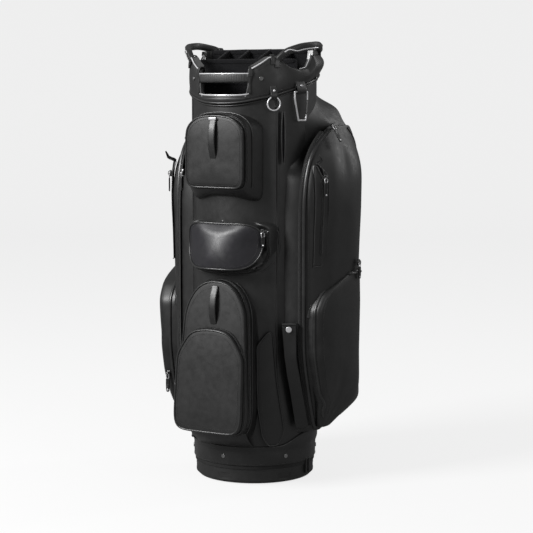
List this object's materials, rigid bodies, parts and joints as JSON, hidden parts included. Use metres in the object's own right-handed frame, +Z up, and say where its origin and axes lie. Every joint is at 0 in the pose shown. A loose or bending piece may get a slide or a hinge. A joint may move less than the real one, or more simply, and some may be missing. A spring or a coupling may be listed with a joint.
{
  "type": "golf staff bag",
  "caption": "Free-standing golf bag with a divider top, zipped front pockets, side garment pockets and lift handles.",
  "frame": {"origin": "centre of the round base at floor level", "axes": "+Z up along the tube, -Y towards the front pockets, +X the bag's right-hand side seen from the front"},
  "size_m": [0.4285, 0.3728, 0.8853],
  "materials": {
    "leather": "satin grained synthetic leather",
    "side_leather": "satin grained synthetic leather",
    "base_plastic": "fine texture",
    "foot_rubber": "matt",
    "screw_steel": "black oxide",
    "foam_felt": "felt over foam",
    "board_plastic": "plain",
    "stay_rod": "glass-fibre rod",
    "frame_plastic": "satin to gloss moulding",
    "grip_rubber": "soft touch",
    "lining_fabric": "velour",
    "bright_metal": "polished zinc alloy",
    "dark_metal": "gloss black",
    "zip_nylon": "coil zip",
    "pull_rubber": "moulded"
  },
  "bodies": {
    "bag": {"base_cup": "base_plastic", "base_feet": "foot_rubber", "screws": "screw_steel", "base_skirt": "leather", "bottom_pad": "foam_felt", "body_board": "board_plastic", "body_cover": "leather", "stay_rods": "stay_rod", "spine_pad": "leather", "rear_handle": "leather", "top_frame": "frame_plastic", "front_handle": "grip_rubber", "side_handles": "leather", "collar": "leather", "divider_grid": "frame_plastic", "divider_sleeves": "lining_fabric", "valuables_pocket": "leather", "rangefinder_pocket": "leather", "ball_pocket": "leather", "umbrella_sleeve": "leather", "sleeve_snap": "bright_metal", "strap_guards": "leather", "zip_chains": "zip_nylon", "hanging_tabs": "leather", "shoulder_strap": "leather", "strap_pad": "leather", "strap_rings": "bright_metal", "garment_pocket_right": "side_leather", "garment_pocket_left": "side_leather"},
    "valuables_lid": {"valuables_lid": "leather", "valuables_loop": "leather"},
    "valuables_slider": {"valuables_slider": "dark_metal"},
    "valuables_pull": {"valuables_pull": "pull_rubber"},
    "rangefinder_flap": {"rangefinder_flap": "leather", "rangefinder_slider": "dark_metal"},
    "rangefinder_pull": {"rangefinder_pull": "pull_rubber"},
    "ball_lid": {"ball_lid": "leather", "ball_loop": "leather"},
    "front_panel": {"front_panel": "leather"},
    "ball_slider": {"ball_slider": "dark_metal"},
    "ball_pull": {"ball_pull": "pull_rubber"},
    "garment_lid_right": {"garment_lid_right": "side_leather", "side_pocket_right": "side_leather", "slit_pocket_right": "side_leather", "fixed_sliders_right": "dark_metal"},
    "garment_lid_left": {"garment_lid_left": "side_leather", "side_pocket_left": "side_leather", "slit_pocket_left": "side_leather", "fixed_sliders_left": "dark_metal"},
    "slit_slider_right": {"slit_slider_right": "dark_metal"},
    "slit_slider_left": {"slit_slider_left": "dark_metal"},
    "slit_pull_right": {"slit_pull_right": "pull_rubber"},
    "slit_pull_left": {"slit_pull_left": "pull_rubber"},
    "garment_pull_right": {"garment_pull_right": "pull_rubber"},
    "garment_pull_left": {"garment_pull_left": "pull_rubber"},
    "side_pull_right": {"side_pull_right": "pull_rubber"},
    "side_pull_left": {"side_pull_left": "pull_rubber"},
    "accessory_ring": {"accessory_ring": "bright_metal"},
    "towel_clip": {"towel_clip": "bright_metal"},
    "clip_gate": {"clip_gate": "bright_metal"}
  },
  "joints": [
    {"name": "valuables_lid_hinge", "type": "hinge", "parent": "bag", "child": "valuables_lid", "pos_m": [0, -0.1482, 0.5954], "axis": [1, 0, 0], "range_deg": [0, 95]},
    {"name": "valuables_zip_slide", "type": "slide", "parent": "bag", "child": "valuables_slider", "axis": [0, 0, 1], "range_m": [0, 0.055]},
    {"name": "valuables_pull", "type": "hinge", "parent": "valuables_slider", "child": "valuables_pull", "pos_m": [-0.0802, -0.148, 0.628], "axis": [0, 1, 0], "range_deg": [0, 160]},
    {"name": "rangefinder_flap_hinge", "type": "hinge", "parent": "bag", "child": "rangefinder_flap", "pos_m": [0, -0.1286, 0.5294], "axis": [-1, 0, 0], "range_deg": [0, 75]},
    {"name": "rangefinder_pull", "type": "hinge", "parent": "rangefinder_flap", "child": "rangefinder_pull", "pos_m": [0.08825, -0.11913, 0.512], "axis": [-0.578, -0.816, 0], "range_deg": [0, 160]},
    {"name": "ball_lid_hinge", "type": "hinge", "parent": "bag", "child": "ball_lid", "pos_m": [0, -0.1652, 0.1114], "axis": [1, 0, 0], "range_deg": [0, 60]},
    {"name": "front_panel_hinge", "type": "hinge", "parent": "ball_lid", "child": "front_panel", "pos_m": [0, -0.1772, 0.1146], "axis": [1, 0, 0], "range_deg": [0, 30]},
    {"name": "ball_zip_slide", "type": "slide", "parent": "bag", "child": "ball_slider", "axis": [0, 0.0777, 0.997], "range_m": [0, 0.08]},
    {"name": "ball_pull", "type": "hinge", "parent": "ball_slider", "child": "ball_pull", "pos_m": [-0.0914, -0.1579, 0.206], "axis": [0, 1, 0], "range_deg": [0, 160]},
    {"name": "garment_hinge_right", "type": "hinge", "parent": "bag", "child": "garment_lid_right", "pos_m": [0.1672, 0.1232, 0.44], "axis": [0, 0, 1], "range_deg": [0, 40]},
    {"name": "garment_hinge_left", "type": "hinge", "parent": "bag", "child": "garment_lid_left", "pos_m": [-0.1672, 0.1232, 0.44], "axis": [0, 0, -1], "range_deg": [0, 40]},
    {"name": "slit_zip_slide_right", "type": "slide", "parent": "garment_lid_right", "child": "slit_slider_right", "axis": [-0.0266, 0.0138, -0.9996], "range_m": [0, 0.14]},
    {"name": "slit_zip_slide_left", "type": "slide", "parent": "garment_lid_left", "child": "slit_slider_left", "axis": [0.0266, 0.0138, -0.9996], "range_m": [0, 0.14]},
    {"name": "slit_pull_right", "type": "hinge", "parent": "slit_slider_right", "child": "slit_pull_right", "pos_m": [0.1843, -0.03577, 0.617], "axis": [-0.4616, -0.8871, 0], "range_deg": [0, 160]},
    {"name": "slit_pull_left", "type": "hinge", "parent": "slit_slider_left", "child": "slit_pull_left", "pos_m": [-0.1843, -0.03577, 0.617], "axis": [-0.4616, 0.8871, 0], "range_deg": [0, 160]},
    {"name": "garment_pull_right", "type": "hinge", "parent": "garment_lid_right", "child": "garment_pull_right", "pos_m": [0.16552, 0.02952, 0.71856], "axis": [-0.1871, -0.9823, 0], "range_deg": [0, 120]},
    {"name": "garment_pull_left", "type": "hinge", "parent": "garment_lid_left", "child": "garment_pull_left", "pos_m": [-0.16552, 0.02952, 0.71856], "axis": [-0.1871, 0.9823, 0], "range_deg": [0, 120]},
    {"name": "side_pull_right", "type": "hinge", "parent": "garment_lid_right", "child": "side_pull_right", "pos_m": [0.20541, 0.07068, 0.442], "axis": [-0.0488, -0.9988, 0], "range_deg": [0, 160]},
    {"name": "side_pull_left", "type": "hinge", "parent": "garment_lid_left", "child": "side_pull_left", "pos_m": [-0.18321, -0.0492, 0.196], "axis": [-0.9972, -0.0746, 0], "range_deg": [0, 160]},
    {"name": "accessory_ring_swing", "type": "hinge", "parent": "bag", "child": "accessory_ring", "pos_m": [0.09838, -0.09303, 0.776], "axis": [-0.6871, -0.7266, 0], "range_deg": [0, 100]},
    {"name": "towel_clip_swing", "type": "hinge", "parent": "bag", "child": "towel_clip", "pos_m": [0.12948, -0.03959, 0.786], "axis": [-0.2924, -0.9563, 0], "range_deg": [0, 110]},
    {"name": "clip_gate_spring", "type": "hinge", "parent": "towel_clip", "child": "clip_gate", "pos_m": [0.13375, -0.02562, 0.7435], "axis": [0.9563, -0.2924, 0], "range_deg": [0, 25], "stiffness_Nm_per_rad": 0.01}
  ]
}
